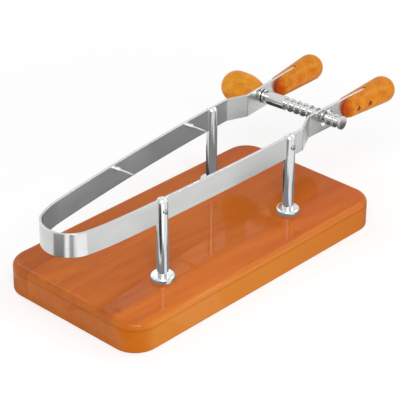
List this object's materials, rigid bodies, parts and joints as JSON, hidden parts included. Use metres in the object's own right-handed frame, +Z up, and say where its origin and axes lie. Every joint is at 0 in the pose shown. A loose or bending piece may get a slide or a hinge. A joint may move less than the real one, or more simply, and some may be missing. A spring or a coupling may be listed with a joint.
{
  "type": "ham clamp",
  "caption": "Spring-steel hairpin band on posts over a wooden board, squeezed by two drop-shaped handles and held by a ringed locking rod with a knob.",
  "frame": {"origin": "centre of the board's flat underside", "axes": "+X along the board towards the handles, +Y across the board towards the swinging rear arm, +Z up"},
  "size_m": [0.5762, 0.2334, 0.1522],
  "materials": {
    "board_wood": "stained and varnished, gloss",
    "grip_wood": "stained and varnished, gloss",
    "knob_wood": "stained and varnished, gloss",
    "band_steel": "brushed along the band",
    "post_chrome": "polished",
    "screw_steel": "machined",
    "spike_steel": "ground to a point",
    "rod_steel": "turned and polished"
  },
  "bodies": {
    "base": {"base_board": "board_wood", "foot_front_left": "post_chrome", "foot_front_right": "post_chrome", "post_front_left": "post_chrome", "post_front_right": "post_chrome", "front_post_screws": "screw_steel", "anchor_screws": "screw_steel", "anchor_washers": "screw_steel", "front_band": "band_steel", "front_handle": "grip_wood", "front_handle_screws": "screw_steel"},
    "rear_arm": {"rear_band": "band_steel", "post_rear": "post_chrome", "foot_rear": "post_chrome", "rear_post_screw": "screw_steel", "rear_spikes": "spike_steel", "rear_handle": "grip_wood", "rear_handle_screws": "screw_steel"},
    "rod_swivel": {"rod_bush": "rod_steel", "bush_ring": "rod_steel"},
    "locking_rod": {"lock_rod": "rod_steel", "knob": "knob_wood"}
  },
  "joints": [
    {"name": "rear_arm_swing", "type": "hinge", "parent": "base", "child": "rear_arm", "pos_m": [-0.2515, -0.017, 0.1312], "axis": [0, 0, -1], "range_deg": [-1.14, 5.11], "stiffness_Nm_per_rad": 48},
    {"name": "rod_tilt", "type": "hinge", "parent": "rear_arm", "child": "rod_swivel", "pos_m": [0.18703, 0.0574, 0.1312], "axis": [0.9972, 0.075, 0], "range_deg": [-2.95, 2.95]},
    {"name": "knob_turn", "type": "hinge", "parent": "rod_swivel", "child": "locking_rod", "pos_m": [0.18703, 0.0574, 0.1312], "axis": [0.075, -0.9972, 0], "continuous": true}
  ]
}
